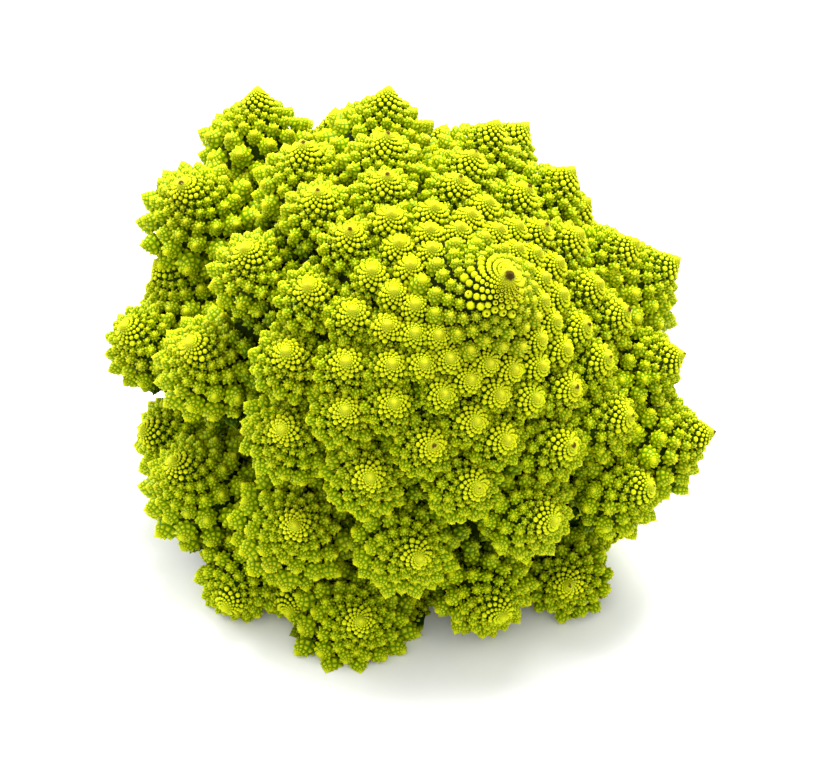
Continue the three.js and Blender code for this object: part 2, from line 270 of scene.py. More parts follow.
# Colours, as linear red, green, blue and alpha.
FLESH_TINT_SHADE_HIGHLIGHT_RAMP = (               # brightness and colour: the near black and dark green low end is painted shade, and the top is a little whiter as a painted highlight
    (0.0, (0.01, 0.018, 0.0, 1)),
    (0.3, (0.075, 0.13, 0.0, 1)),
    (0.65, (0.68, 0.71, 0.004, 1)),
    (1.0, (0.64, 0.6, 0.018, 1)),
)
FLESH_BLOTCHES = ((0.8, 0.95, 0.7, 1), (1.0, 0.95, 0.9, 1))
STEM_COLORS = ((0.2, 0.3, 0.035, 1), (0.34, 0.44, 0.08, 1))
BROWN = (0.075, 0.045, 0.004, 1)
# Dark green multiplied into the grooves between beads: painted shade.
GROOVE_SHADE = (0.2, 0.35, 0.01, 1)
STALK_COLORS = ((0.24, 0.34, 0.08, 1), (0.38, 0.45, 0.16, 1))
CUT_COLORS = ((0.46, 0.49, 0.26, 1), (0.6, 0.61, 0.4, 1))
# Dark green: painted shade in the stalk's hollows, and the darker rings of the cut.
STALK_SHADE_AND_RING_TINT = (0.12, 0.2, 0.03, 1)
WHITE = (1, 1, 1, 1)
BLOTCHES = (90, 4)           # scale and detail
FIBRES = (1400, 2)
STALK_BLOTCHES = (60, 2)
BROWN_EDGE = (0.75, 1.15)    # brown plus fibres, from green to brown
GROOVE_SHADE_EDGE = (0.0, 0.85)    # bead value, from full painted groove shade to none
CURD_FINISH = {
    "Roughness": 0.4,
    "Specular IOR Level": 0.04,
    "Subsurface Weight": 0.15,
    "Subsurface Radius": (1.0, 1.0, 0.15),
    "Subsurface Scale": 0.0012,
}
STALK_FINISH = {
    "Roughness": 0.5,
    "Subsurface Weight": 0.2,
    "Subsurface Radius": (1.0, 0.9, 0.4),
    "Subsurface Scale": 0.002,
}
FLOOR_FINISH = {"Base Color": (0.9, 0.9, 0.9, 1), "Roughness": 0.8}

# The studio, in metres and watts, and the camera.
FLOOR_SIDE = 4.0             # half of the floor's width
WORLD_STRENGTH = 1.2
LIGHTS = (
    dict(name="overhead", at=(0.12, 0.42, 0.85), aim=(0, 0, 0.05), size=0.6, power=20),
    dict(name="fill", at=(-0.6, 0.35, 0.3), aim=(-0.05, 0, 0.03), size=0.5, power=4),
)
VIEW_ELEVATION = 40 * DEG
VIEW_DISTANCE = 750.0        # from the apex, in mm
AIM = np.array([4.4, -58.2, 95.6])
LENS = 131.1
SENSOR = 36.0
NEAREST = 0.01

Whorl = namedtuple("Whorl", "point out spacing reach")
Lattice = namedtuple("Lattice", "faces corner_index corner_angle")
# Each point's brightness holds both the flesh's own tint and its painted shade.
Template = namedtuple("Template", "points faces glow tip bead")
Floret = namedtuple("Floret", "number tip facing body root tone")
Beads = namedtuple("Beads", "kind tip facing spacing glow brown")


def drop(u, curve):
    """Drop of a dome at u, the share of its radius."""
    return ((curve[2] * u + curve[1]) * u + curve[0]) * u


def slope(u, curve):
    """Slope of a dome at u."""
    return (3 * curve[2] * u + 2 * curve[1]) * u + curve[0]


def unit(v):
    """Vectors in the same direction, one unit long."""
    return v / np.linalg.norm(v, axis=-1, keepdims=True)


def turned(facing):
    """Rotations that take +Z to each of the given unit vectors by the shortest way."""
    facing = np.atleast_2d(facing)
    x, y, z = facing.T
    k = 1 / (1 + np.maximum(z, NEARLY_DOWN))
    rows = [1 - x * x * k, -x * y * k, x, -x * y * k, 1 - y * y * k, y, -x, -y, z]
    return np.stack(rows, axis=-1).reshape(-1, 3, 3)


def spin(angle):
    """Rotations about +Z."""
    c, s, o = np.cos(angle), np.sin(angle), np.zeros_like(angle)
    return np.stack([c, -s, o, s, c, o, o, o, o + 1], axis=-1).reshape(-1, 3, 3)


def polar(tilt, angle):
    """Unit vectors at a tilt off +Z."""
    return np.stack([np.sin(tilt) * np.cos(angle), np.sin(tilt) * np.sin(angle), np.cos(tilt)], axis=-1)


def around(sides):
    """Evenly spaced angles of a full turn."""
    return 2 * np.pi * np.arange(sides) / sides


AXIS = polar(LEAN, LEAN_TOWARD)
TO_WORLD = turned(AXIS)[0]


def spiral_radius(k):
    """Distance of floret k from the head's axis."""
    k = np.asarray(k, float)
    growth = np.where(k < KNEE, INNER_GROWTH, OUTER_GROWTH)
    return KNEE_RADIUS * np.exp(growth * (k - KNEE))


def dome_stretch(radius):
    """Length along the dome's slope over the change in radius."""
    return np.hypot(1, slope(radius / DOME_RADIUS, DOME_DROP))


def share_of_dome(radius):
    """Width of the share of the dome that a floret at this radius has."""
    growth = np.where(radius < KNEE_RADIUS, INNER_GROWTH, OUTER_GROWTH)
    return np.minimum(radius * np.sqrt(2 * np.pi * growth * dome_stretch(radius)), WIDEST_FLORET)


def on_dome(radius, angle, lower=0.0, nod=0.0):
    """Points of the head's dome of tips, and the way that florets there face."""
    u = radius / DOME_RADIUS
    tilt = np.arctan(slope(u, DOME_DROP)) * (TILT[0] + TILT[1] * u) + nod
    reach = radius * (1 + OVAL * u * np.cos(2 * (angle - OVAL_TOWARD)))
    droop = 1 - LOPSIDED * u * u * np.cos(angle - LOPSIDED_TOWARD)
    depth = DOME_RADIUS * drop(u, DOME_DROP) * droop + lower
    tip = np.stack([reach * np.cos(angle), reach * np.sin(angle), -depth], axis=-1)
    facing = polar(tilt, angle) @ TO_WORLD.T + TURN_UP * (u * u)[..., None]
    return tip @ TO_WORLD.T + APEX, unit(facing)


def floret_site(k):
    """Tip, facing and width of floret k."""
    stray = STRAYS.get(k, {})
    under = k >= UNDER_FROM
    spiral = UNDER_RADIUS if under else float(spiral_radius(k))
    angle = SPIRAL_START + k * GOLDEN + stray.get("turn", 0) * DEG
    lower = stray.get("lower", 0) + (UNDER_DROP if under else 0)
    radius = np.array(spiral + stray.get("reach", 0))
    tip, facing = on_dome(radius, np.array(angle), lower, UNDER_NOD if under else 0)
    if "face" in stray:
        facing = unit(np.array(stray["face"]))
    return tip, facing, float(share_of_dome(np.array(spiral))) * stray.get("size", 1)


def on_stalk(share):
    """A point of the stalk's middle line."""
    return STALK_FOOT + (STALK_TOP - STALK_FOOT) * share


def root_of(k, tip, facing, body):
    """Where floret k grows from: straight below an inner one, and by the fork for an outer one."""
    if k < LARGE_FROM:
        return tip - facing * ROOT_DEPTH * body
    root = tip + (on_stalk(FORK) - tip) * ROOT_REACH
    depth = (tip - root) @ facing
    return root - facing * max(LEAST_DEPTH * body - depth, 0)


def grown_florets():
    """The florets outside the crown."""
    florets = []
    for k in range(CROWN_BEADS, FLORETS):
        tip, facing, width = floret_site(k)
        body = width / 2 * float(np.interp(k, *BODY_FILL))
        # Lower florets are darker: painted shade.
        tone = float(np.interp(tip[2], *HEIGHT_SHADE))
        florets.append(Floret(k, tip, facing, body, root_of(k, tip, facing, body), tone))
    return florets


GROWN = grown_florets()


def outside_others(points, own):
    """Which points aren't inside a floret other than their own."""
    kept = np.ones(len(points), bool)
    for floret in GROWN:
        if floret.number != own:
            middle = floret.tip - floret.facing * floret.body
            kept &= np.linalg.norm(points - middle, axis=1) > floret.body * BODY_SHARE
    return kept


def whorl_place(reach, curve):
    """Radius, depth and tilt of the beads of a whorl of unit radius."""
    top = np.minimum(reach, 1)
    past = reach - top
    radius = top - UNDERCUT * past ** 2
    depth = drop(top, curve) + SKIRT * past
    tilt = np.arctan(slope(top, curve)) * (BEAD_TILT[0] + BEAD_TILT[1] * top) + past * UNDER_TURN
    return radius, depth, tilt


def whorl_spacing(reach, growth):
    """Spacing of the beads of a whorl of unit radius."""
    return np.minimum(reach, 1) * np.sqrt(2 * np.pi * growth * TIP_STRETCH)


def lattice(beads, pair):
    """A skin of beads on a golden spiral, with four faces to a bead. Its points are the tip, the root,
    the corners and the beads, in that order, and a corner's index is its place on the spiral."""
    turns = [math.atan2(math.sin(step * GOLDEN), math.cos(step * GOLDEN)) for step in pair]
    clockwise, counter = pair if turns[0] < 0 else pair[::-1]
    both = clockwise + counter
    faces = []
    for k in range(beads):
        bead = 2 + beads + both + k
        ring = [2 + k, 2 + k + clockwise, 2 + k + both, 2 + k + counter]
        faces += [(bead, ring[side], ring[(side + 1) % 4]) for side in range(4)]
        if k < counter:
            faces.append((0, ring[1], ring[0]))
        if k < clockwise:
            faces.append((0, ring[0], ring[3]))
        if k + clockwise >= beads:
            faces.append((1, ring[2], ring[1]))
        if k + counter >= beads:
            faces.append((1, ring[3], ring[2]))
    corners = np.arange(beads + both)
    return Lattice(np.array(faces), corners - both / 2, corners * GOLDEN - sum(turns) / 2)


def in_order(tip, root, corners, beads):
    """Points or values of a lattice, in the order of its points."""
    return np.concatenate([[tip], [root], corners, beads])


def ring_faces(rings, sides):
    """Faces between rings of points."""
    faces = []
    for ring in range(rings - 1):
        for side in range(sides):
            after = (side + 1) % sides
            a, b = ring * sides, (ring + 1) * sides
            faces.append((a + side, b + side, b + after))
            faces.append((a + side, b + after, a + after))
    return np.array(faces)


def tip_only(count):
    """1 for the first point, and 0 for the others."""
    return np.eye(1, count)[0]


def knob(sides, rings):
    """A round bead of unit spacing on +Z, from the radius, height and brightness of its top and its rings;
    the brightness darkens its base with painted shade.
    """
    angle = around(sides)
    _, top, top_tint_and_shade = rings[0]
    points = [[(0, 0, top)]]
    for radius, height, _ in rings[1:]:
        points.append(np.stack([radius * np.cos(angle), radius * np.sin(angle), np.full(sides, height)], -1))
    points = np.concatenate(points)
    glow = np.append(top_tint_and_shade, np.repeat([glow for _, _, glow in rings[1:]], sides))
    cap = [(0, 1 + side, 1 + (side + 1) % sides) for side in range(sides)]
    faces = np.concatenate([cap, ring_faces(len(rings) - 1, sides) + 1])
    return Template(points, faces, glow, tip_only(len(points)), np.ones(len(points)))


def bud(beads, pair, last, growth, curve):
    """A small floret of unit width on +Z, all over low beads, out to a reach of last. Its growth per bead
    goes from the first value, at the tip, to the second."""
    skin = lattice(beads, pair)

    def place(index, angle, lift):
        inward = np.maximum(beads - index, 0)
        easing = (growth[0] - growth[1]) / beads
        reach = last * np.exp(-(growth[1] + easing * inward / 2) * inward)
        radius, depth, tilt = whorl_place(reach, curve)
        spacing = whorl_spacing(reach, growth[1] + easing * inward)
        at = np.stack([radius * np.cos(angle), radius * np.sin(angle), -depth], -1)
        return at + polar(tilt, angle) * (lift * spacing)[:, None], reach

    index = np.arange(beads)
    corner, corner_reach = place(skin.corner_index, skin.corner_angle, -BUD_RELIEF / 2)
    top, reach = place(index, index * GOLDEN, BUD_RELIEF / 2)
    points = in_order((0, 0, BUD_TIP), (0, 0, -BUD_ROOT), corner, top)
    # Painted shade: darker in the grooves, under the rim and at the root.
    groove_shade_value = np.interp(corner_reach, *BUD_SHADE_BY_REACH) * BUD_GROOVE_SHADE
    glow = in_order(1.0, BUD_ROOT_SHADE, groove_shade_value, np.interp(reach, *BUD_SHADE_BY_REACH))
    bead = in_order(1.0, 0.0, np.interp(corner_reach, *BUD_GROOVES), np.ones(beads))
    return Template(points / 2, skin.faces, glow, tip_only(len(points)), bead)


SMALL_BUD = bud(beads=31, pair=(5, 8), last=1.3, growth=(0.1, 0.03), curve=(0.55, 0.1, 0.55))

# The shape of each kind of bead, and its width over the spacing.
BEAD_SHAPES = {
    # The last value of each ring of a knob is its brightness, which falls toward the base as painted shade.
    KNOB: (knob(6, [(0, 0.05, 1.0), (0.34, -0.18, 0.75), (0.48, -0.6, 0.05)]), 1.2),
    TINY: (bud(beads=13, pair=(3, 5), last=1.1, growth=(0.2, 0.08), curve=(0.4, 0.1, 0.65)), 1.22),
    SMALL: (SMALL_BUD, 1.18),
    LARGE: (bud(beads=60, pair=(5, 8), last=1.35, growth=(0.048, 0.026), curve=(0.95, -0.15, 0.52)), 1.16),
    PLAIN: (bud(beads=22, pair=(5, 8), last=1.15, growth=(0.09, 0.04), curve=(1.05, -0.2, 0.5)), 1.12),
    ROUND: (knob(7, [(0, 0.08, 1.0), (0.26, -0.08, 0.8), (0.48, -0.42, 0.42), (0.4, -0.9, 0.0)]), 1.1),
}


class Mesh:
    """Points, faces and values that are gathered for one piece. If it gives, its points flatten softly
    against the ground."""

    def __init__(self, gives=True):
        self.gives = gives
        self.points, self.faces, self.glow, self.brown, self.bead = [], [], [], [], []
        self.count = 0

    def add(self, points, faces, glow, brown, bead):
        """Adds points and faces, with values for each point or for them all."""
        if self.gives:
            points[:, 2] = np.logaddexp(0, points[:, 2] / GROUND_GIVE) * GROUND_GIVE
        self.points.append(points)
        self.faces.append(faces + self.count)
        self.glow.append(np.broadcast_to(glow, len(points)))
        self.brown.append(np.broadcast_to(brown, len(points)))
        self.bead.append(np.broadcast_to(bead, len(points)))
        self.count += len(points)

    def stamp(self, template, at, turn, scale, glow, brown):
        """Adds copies of a template, each at its own place, turn, scale and brightness. A brown of up to
        1 is for the tip alone, and what is past 1 is for the rest of the copy."""
        above = at[:, 2] > -BURIED * scale
        at, turn, scale, glow, brown = (v[above] for v in (at, turn, scale, glow, brown))
        if not len(at):
            return
        points = np.einsum("nij,pj->npi", turn, template.points) * scale[:, None, None] + at[:, None]
        first = np.arange(len(at)) * len(template.points)
        faces = template.faces[None] + first[:, None, None]
        # Brightness of each point of each copy: its tint and its painted shade.
        copy_tint_and_shade = template.glow[None] * glow[:, None]
        past = np.clip(brown - 1, 0, 1)
        dark = brown[:, None] * template.tip[None] + past[:, None] * (1 - template.tip)
        bead = np.tile(template.bead, len(at))
        self.add(points.reshape(-1, 3), faces.reshape(-1, 3), copy_tint_and_shade.reshape(-1), dark.reshape(-1), bead)


def bead_kind(spacing):
    """The kind of bead that stands at this spacing."""
    return np.digitize(spacing, [FINE_SPACING, TINY_SPACING, BUD_SPACING, LARGE_SPACING])


def sunk(spacing):
    """Depth of the skin under beads of this spacing."""
    return SUNK * spacing * np.clip((spacing - FINE_SPACING) / SUNK_EASING, 0, 1)


def brown_dots(count, random):
    """A faint brown dot on a few beads."""
    share, brown = DOT
    return brown * (random.uniform(0, 1, count) < share)


def add_beads(mesh, beads, own, random):
    """The beads of a whorl that stand out of its skin. They grow on the floret numbered own."""
    shown = outside_others(beads.tip - beads.facing * beads.spacing[:, None] * BEAD_MIDDLE, own)
    for kind, (template, width) in BEAD_SHAPES.items():
        chosen = shown & (beads.kind == kind)
        count = int(chosen.sum())
        if not count:
            continue
        facing = unit(beads.facing[chosen] + random.normal(0, BEAD_WOBBLE, (count, 3)))
        turn = turned(facing) @ spin(random.uniform(0, 2 * np.pi, count))
        scale = beads.spacing[chosen] * width * random.normal(1, BEAD_VARIATION, count)
        glow = beads.glow[chosen] * random.normal(1, BEAD_VARIATION, count)
        mesh.stamp(template, beads.tip[chosen], turn, scale, glow, beads.brown[chosen])


FLORET_SKIN = lattice(FLORET_BEADS, BEAD_PAIR)


def floret_whorl(floret, index, angle):
    """The whorl of a floret at these places on its spiral."""
    reach = np.exp(BEAD_GROWTH * (index - FLORET_BEADS + SKIRT_BEADS))
    radius, depth, tilt = whorl_place(reach, FLORET_DROP)
    rise = TIP_RISE * np.exp(-((reach / TIP_RISE_REACH) ** 2))
    local = np.stack([radius * np.cos(angle), radius * np.sin(angle), rise - depth], -1) * floret.body
    base = turned(floret.facing)[0].T
    spacing = whorl_spacing(reach, BEAD_GROWTH) * floret.body
    return Whorl(local @ base + floret.tip, polar(tilt, angle) @ base, spacing, reach)


def floret_skin(mesh, floret, corner, top):
    """The skin of a floret, which its finest beads are raised from, down to its root."""
    fine = bead_kind(top.spacing) == SKIN
    relief = np.where(fine, FINE_RELIEF * top.spacing, -sunk(top.spacing))
    tip = floret.tip + floret.facing * TIP_RISE * floret.body
    corners = corner.point - corner.out * sunk(corner.spacing)[:, None]
    points = in_order(tip, floret.root, corners, top.point + top.out * relief[:, None])
    reach = in_order(0.0, ROOT_MARK, corner.reach, top.reach)
    spacing = in_order(0.0, ROOT_MARK, corner.spacing, top.spacing)
    stem = np.clip((reach - STEM_FROM) / STEM_EASING, 0, 1)
    # Painted shade: darker on the skin between sunk beads and on the stems below.
    glow = floret.tone * np.interp(spacing, *SKIN_GROOVE_SHADE)
    glow = glow + (STEM_SHADE * floret.tone - glow) * stem
    on_bead = in_order(1.0, 0.0, np.zeros(len(corners)), fine)
    bead = np.maximum(np.maximum(on_bead, stem), np.interp(spacing, *SKIN_BEAD))
    scorch = SCORCHED.get(floret.number, 0) * np.clip(SCORCH[0] - reach * floret.body / SCORCH[1], 0, 1)
    mesh.add(points, FLORET_SKIN.faces, glow, scorch - stem, bead)


def floret_beads(mesh, floret, top, random):
    """The round beads and the buds of a floret."""
    is_bud = top.spacing > BUD_SPACING
    lift = np.where(is_bud, np.interp(top.reach, *BUD_LIFTS), BEAD_LIFT) * top.spacing
    kind = bead_kind(top.spacing)
    kind[(kind == LARGE) & (top.reach > PLAIN_FROM)] = PLAIN
    # Painted shade: darker down the floret and under its rim.
    glow = floret.tone * np.interp(top.reach, *BEAD_SHADE_BY_REACH)
    brown = brown_dots(FLORET_BEADS, random) * is_bud
    tip = top.point + top.out * lift[:, None]
    add_beads(mesh, Beads(kind, tip, top.out, top.spacing, glow, brown), floret.number, random)


def add_floret(mesh, floret, random):
    """One floret: a skin of fine beads with round beads and buds on it."""
    phase = random.uniform(0, 2 * np.pi)
    index = np.arange(FLORET_BEADS)
    corner = floret_whorl(floret, FLORET_SKIN.corner_index, FLORET_SKIN.corner_angle + phase)
    top = floret_whorl(floret, index, index * GOLDEN + phase)
    floret_skin(mesh, floret, corner, top)
    floret_beads(mesh, floret, top, random)


def crown_spiral(k):
    """Distance from the axis of bead k of the crown, and the growth there."""
    inward = CROWN_BEADS - k
    easing = np.exp(-inward / TIGHTENING)
    extra = INNER_GROWTH - APEX_GROWTH
    fall = APEX_GROWTH * inward + extra * TIGHTENING * (1 - easing)
    return spiral_radius(CROWN_BEADS) * np.exp(-fall), APEX_GROWTH + extra * easing


def crown_whorl(index, angle):
    """The whorl of the crown at these places on its spiral. Its reach is in mm."""
    radius, growth = crown_spiral(np.minimum(index + CROWN_FIRST, CROWN_LAST))
    tip, facing = on_dome(radius, angle + SPIRAL_START + CROWN_FIRST * GOLDEN)
    tip = tip + BEND * np.exp(-(radius / BEND_REACH) ** 2)[:, None]
    return Whorl(tip, facing, radius * np.sqrt(2 * np.pi * growth * dome_stretch(radius)), radius)


def apex_brown(points):
    """How brown the patch of fibres at the apex is, which trails off down the front."""
    start = APEX + BEND
    along = np.clip((points - start) @ APEX_TRAIL / (APEX_TRAIL @ APEX_TRAIL), 0, 1)
    away = np.linalg.norm(points - start - along[:, None] * APEX_TRAIL, axis=1)
    return np.clip(APEX_BROWN - away / APEX_PATCH - TRAIL_FADING * along, 0, 1)


def crown_skin(mesh, faces, corner, top):
    """The skin of the crown, which its finest beads are raised from."""
    fine = bead_kind(top.spacing) == SKIN
    corner_depth = corner.spacing * FINE_RELIEF + sunk(corner.spacing)
    top_depth = np.where(fine, 0, FINE_RELIEF * top.spacing + sunk(top.spacing))
    corners = corner.point - corner.out * corner_depth[:, None]
    points = in_order(APEX + BEND, STALK_TOP, corners, top.point - top.out * top_depth[:, None])
    # Painted shade in the crown's grooves, past its bright middle, and at its root.
    corner_shade_value = np.where(corner.reach < UNSHADED_RADIUS, 1.0, CROWN_GROOVE_SHADE)
    glow = in_order(1.0, 0.0, corner_shade_value, np.where(fine, 1.0, CROWN_GROOVE_SHADE))
    bead = in_order(1.0, 0.0, np.full(len(corners), GROOVE_BEAD), np.maximum(fine, GROOVE_BEAD))
    mesh.add(points, faces, glow, apex_brown(points), bead)


def crown_brown(top, random):
    """Brown of the crown's beads: the patch at the apex, spots below it, and a few faint dots."""
    below = unit(top.point - APEX) @ unit(SPOTTED_TOWARD)
    spotted = (below > SPOTTED_COSINE) & (top.reach < SPOTTED_RADIUS)
    spots = np.where(spotted, 1.0, brown_dots(CROWN_COUNT, random))
    patch = apex_brown(top.point)
    return np.where(patch > 0, 1 + patch, spots)


def add_crown(mesh, random):
    """The innermost florets of the head, which are single beads or small buds."""
    skin = lattice(CROWN_COUNT, CROWN_PAIR)
    index = np.arange(CROWN_COUNT)
    top = crown_whorl(index, index * GOLDEN)
    crown_skin(mesh, skin.faces, crown_whorl(skin.corner_index, skin.corner_angle), top)
    kind = bead_kind(top.spacing)
    kind[kind == TINY] = ROUND
    brown = crown_brown(top, random)
    beads = Beads(kind, top.point, top.out, top.spacing, np.ones(CROWN_COUNT), brown)
    add_beads(mesh, beads, None, random)


def dome_rings(angle):
    """Rings of the dome of flesh under the florets."""
    rings = []
    for radius in CORE_RADII:
        radii = np.full(CORE_SIDES, float(radius))
        tip, facing = on_dome(radii, angle)
        rings.append(tip - facing * (CORE_DEPTH * share_of_dome(radii))[:, None])
    return rings


def neck_rings(edge, angle):
    """Rings of the ribbed neck, from the edge of the dome in to the stalk."""
    line = unit(STALK_TOP - STALK_FOOT)
    middle = on_stalk(NECK)
    across = edge - middle
    outward = unit(across - (across @ line)[:, None] * line)
    foot = outward * NECK_RADIUS + middle
    waist = edge + (on_stalk(FORK) - edge) * WAIST
    rings = []
    for share in np.linspace(0, 1, NECK_RINGS):
        ribs = NECK_RIBS * np.cos(NECK_RIB_COUNT * angle) * math.sin(math.pi * share)
        ring = waist + (foot - waist) * share
        rings.append(ring + unit(ring - middle) * ribs[:, None])
    return rings + [on_stalk(share) + outward * radius for share, radius in NECK_FOOT]


def add_core(mesh):
    """The flesh that carries the florets. It is near black with painted shade in the dome, and pale down the
    neck, where painted shade dims its top.
    """
    angle = around(CORE_SIDES)
    dome = dome_rings(angle)
    rings = dome + neck_rings(dome[-1], angle)
    # The dome's brightness of 0 is painted shade.
    zero = np.zeros(len(dome))
    glow = np.concatenate([zero, np.linspace(*NECK_SHADE, NECK_RINGS), NECK_FOOT_SHADE])
    pale = np.concatenate([zero, np.linspace(*NECK_PALE, NECK_RINGS), np.full(len(NECK_FOOT), -1.0)])
    mesh.add(np.concatenate(rings), ring_faces(len(rings), CORE_SIDES), np.repeat(glow, CORE_SIDES),
             np.repeat(pale, CORE_SIDES), 1.0)


def add_core_buds(mesh, random):
    """Small buds on the flesh, dimmed by painted shade, which fill the gaps between florets."""
    k = np.arange(CORE_BUDS)
    radius = CORE_RADII[-1] * np.sqrt((k + 0.5) / CORE_BUDS)
    tip, facing = on_dome(radius, k * GOLDEN)
    tip = tip - facing * ((CORE_DEPTH - CORE_BUD_LIFT) * share_of_dome(radius))[:, None]
    kept = outside_others(tip, None) & (radius > CORE_BUDS_FROM)
    tip, facing, count = tip[kept], facing[kept], int(kept.sum())
    turn = turned(unit(facing + random.normal(0, CORE_BUD_WOBBLE, facing.shape)))
    scale = CORE_BUD * random.normal(1, CORE_BUD_VARIATION, count)
    mesh.stamp(SMALL_BUD, tip, turn, scale, np.full(count, CORE_BUD_SHADE), np.zeros(count))


def object_from(name, mesh, material, node):
    """A piece made from gathered points and faces."""
    points = np.concatenate(mesh.points) * MM
    faces = np.concatenate(mesh.faces)
    data = bpy.data.meshes.new(name)
    data.vertices.add(len(points))
    data.vertices.foreach_set("co", points.astype(np.float32).ravel())
    data.loops.add(faces.size)
    data.loops.foreach_set("vertex_index", faces.astype(np.int32).ravel())
    data.polygons.add(len(faces))
    data.polygons.foreach_set("loop_start", np.arange(0, faces.size, 3, dtype=np.int32))
    data.polygons.foreach_set("use_smooth", np.ones(len(faces), bool))
    # The first of these values holds both the flesh's own tint and its painted shade.
    for label, values in (("glow", mesh.glow), ("brown", mesh.brown), ("bead", mesh.bead)):
        layer = data.attributes.new(label, "FLOAT", "POINT")
        layer.data.foreach_set("value", np.concatenate(values).astype(np.float32))
    data.update()
    data.validate()
    data.materials.append(material)
    piece = bpy.data.objects.new(name, data)
    bpy.context.scene.collection.objects.link(piece)
    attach(piece, "root")
    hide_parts(node)


def sector_of(floret):
    """The sector of the head that a floret is in."""
    angle = math.degrees(math.atan2(floret.tip[1], floret.tip[0])) % 360
    return SECTORS[int(angle // SECTOR)]


def build_curd(material):
    """The head: a piece for the crown, the flesh and the small florets, and one for each sector."""
    random = np.random.default_rng(SEED)
    meshes = {name: Mesh() for name in ("crown",) + SECTORS}
    add_crown(meshes["crown"], random)
    add_core(meshes["crown"])
    add_core_buds(meshes["crown"], random)
    for floret in GROWN:
        name = "crown" if floret.number < MIDDLE_FROM else sector_of(floret)
        add_floret(meshes[name], floret, random)
    for name, mesh in meshes.items():
        object_from("curd_" + name, mesh, material, "curd")


def stalk_relief(angle, share, length):
    """Height of the flutes and leaf scars of the stalk."""
    relief = sum(height * np.cos(count * angle + count) for count, height in FLUTES) - FLUTE_DEPTH
    for scar_turn, scar_share in SCARS:
        sideways = ((np.degrees(angle) - scar_turn + 180) % 360 - 180) * DEG * FOOT_RADIUS / SCAR_SIZE[0]
        up = (share - scar_share) * length / SCAR_SIZE[1]
        relief = relief + SCAR_HEIGHT * np.exp(-(sideways ** 2 + up ** 2) ** 2)
    return relief


def stalk_side(mesh):
    """The side of the stalk. It gives back its lowest ring, which is level."""
    line = unit(STALK_TOP - STALK_FOOT)
    length = np.linalg.norm(STALK_TOP - STALK_FOOT)
    angle = around(STALK_SIDES)
    out = polar(np.full(STALK_SIDES, np.pi / 2), angle) @ turned(line)[0].T
    share = np.linspace(0, 1, STALK_RINGS)[:, None]
    first = -FOOT_RADIUS * out[:, 2] / line[2]
    along = first + (length - first) * share
    relief = stalk_relief(angle, share, length)
    reach = FOOT_RADIUS + (TOP_RADIUS - FOOT_RADIUS) * share
    reach = reach + relief * np.clip(share * STALK_RINGS / PLAIN_RINGS, 0, 1)
    side = STALK_FOOT + line * along[..., None] + out * reach[..., None]
    side[0, :, 2] = 0
    # Painted shade: darker in the hollows, lighter on the ridges.
    glow = STALK_HOLLOW_SHADE[0] + STALK_HOLLOW_SHADE[1] * np.clip(relief, -1, 1)
    mesh.add(side.reshape(-1, 3), ring_faces(STALK_RINGS, STALK_SIDES), glow.reshape(-1), 0.0, 0.0)
    return side[0]


def stalk_cut(mesh, rim):
    """The level face of the cut, in rings inside its rim that are lighter and darker."""
    middle = rim.mean(axis=0)
    points = [middle + (rim - middle) * size for size, _ in CUT_RINGS] + [middle[None]]
    glow = np.append(np.repeat([glow for _, glow in CUT_RINGS], STALK_SIDES), CUT_MIDDLE_TINT)
    faces = ring_faces(len(CUT_RINGS), STALK_SIDES)[:, ::-1]
    centre = len(CUT_RINGS) * STALK_SIDES
    inner = centre - STALK_SIDES + np.arange(STALK_SIDES)
    end = np.stack([np.roll(inner, -1), inner, np.full(STALK_SIDES, centre)], -1)
    mesh.add(np.concatenate(points), np.concatenate([faces, end]), glow, 0.0, 1.0)


def build_stalk(material):
    """The cut stalk: shallow flutes and leaf scars round the side, and a level cut below."""
    mesh = Mesh(gives=False)
    rim = stalk_side(mesh)
    stalk_cut(mesh, rim)
    object_from("stalk_fine", mesh, material, "stalk")


